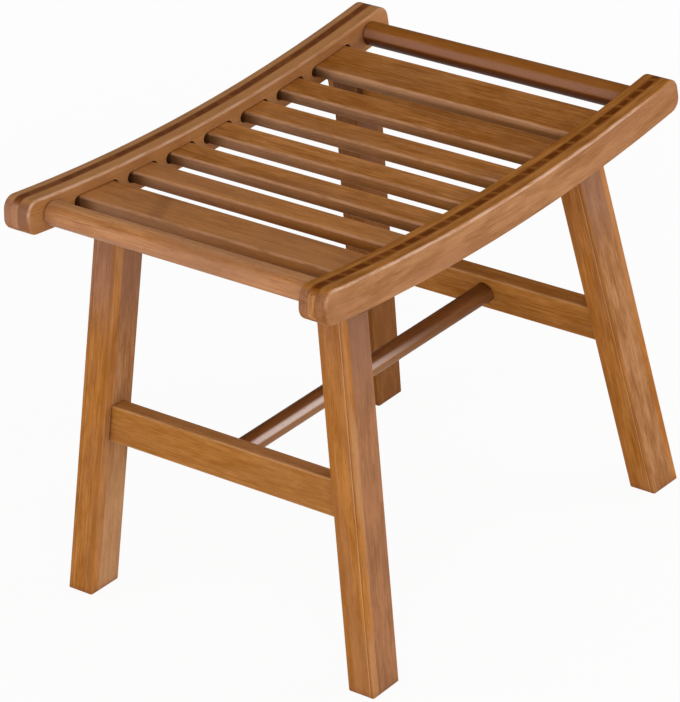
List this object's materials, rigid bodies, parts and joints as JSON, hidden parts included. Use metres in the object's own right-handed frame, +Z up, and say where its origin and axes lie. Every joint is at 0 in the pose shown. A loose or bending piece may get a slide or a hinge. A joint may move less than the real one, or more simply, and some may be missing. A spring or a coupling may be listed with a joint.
{
  "type": "wooden shower stool",
  "caption": "Slatted bamboo-board shower stool with a dished seat, curved side rails, round end bars and raked legs tied by flat stretchers and a round rod.",
  "frame": {"origin": "on the floor, midway between the four feet", "axes": "+Z up, +X across the stool along the slats, +Y along the side rails towards the back"},
  "size_m": [0.36, 0.5, 0.4],
  "materials": {
    "rail_wood": "laminated board, carbonised brown with a satin clear coat",
    "slat_wood": "mid brown bamboo with fine straight grain and a satin clear coat",
    "bar_wood": "turned rod, reddish brown satin",
    "frame_wood": "golden brown satin bamboo board",
    "leg_wood": "golden brown laminated bamboo with satin clear coat",
    "dowel_wood": "turned rod, dark red-brown with a soft gloss",
    "screw_steel": "plain stainless"
  },
  "bodies": {
    "root": {"side_rail_left": "rail_wood", "side_rail_right": "rail_wood", "seat_slat_1": "slat_wood", "seat_slat_2": "slat_wood", "seat_slat_3": "slat_wood", "seat_slat_4": "slat_wood", "seat_slat_5": "slat_wood", "seat_slat_6": "slat_wood", "seat_slat_7": "slat_wood", "end_bar_front": "bar_wood", "end_bar_back": "bar_wood", "cross_rail_front": "frame_wood", "cross_rail_back": "frame_wood", "leg_front_left": "leg_wood", "leg_front_right": "leg_wood", "leg_back_left": "leg_wood", "leg_back_right": "leg_wood", "stretcher_front": "frame_wood", "stretcher_back": "frame_wood", "dowel_stretcher": "dowel_wood", "seat_screws": "screw_steel"}
  },
  "joints": []
}
